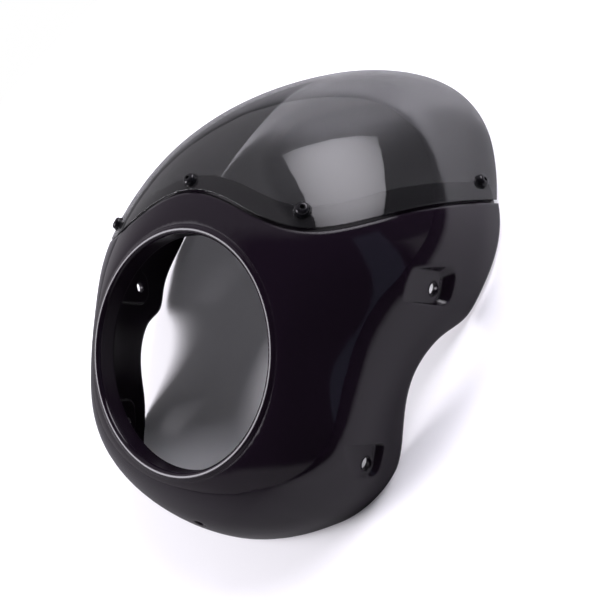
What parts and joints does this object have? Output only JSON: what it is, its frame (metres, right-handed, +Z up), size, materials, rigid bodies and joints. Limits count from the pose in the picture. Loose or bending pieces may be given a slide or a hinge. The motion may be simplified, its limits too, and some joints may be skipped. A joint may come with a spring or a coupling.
{
  "type": "headlight cowl",
  "caption": "Motorcycle headlight cowl: a gloss black moulded shell with a round rolled lamp opening, recessed bracket pads and a smoked bubble screen screwed to its sunk seat.",
  "frame": {"origin": "centre of the lamp opening, where the lip's rounding meets the straight bore", "axes": "+Z up, -Y to the front along the lamp axis, +X to the side"},
  "size_m": [0.325, 0.1982, 0.3719],
  "materials": {
    "cowl_body": "gloss black moulding",
    "windscreen": "smoked clear sheet",
    "screen_screws": "black oxide",
    "screen_washers": "black nylon",
    "screen_nuts": "plain steel"
  },
  "bodies": {
    "root": {"cowl_body": "cowl_body", "windscreen": "windscreen", "screen_screws": "screen_screws", "screen_washers": "screen_washers", "screen_nuts": "screen_nuts"}
  },
  "joints": []
}
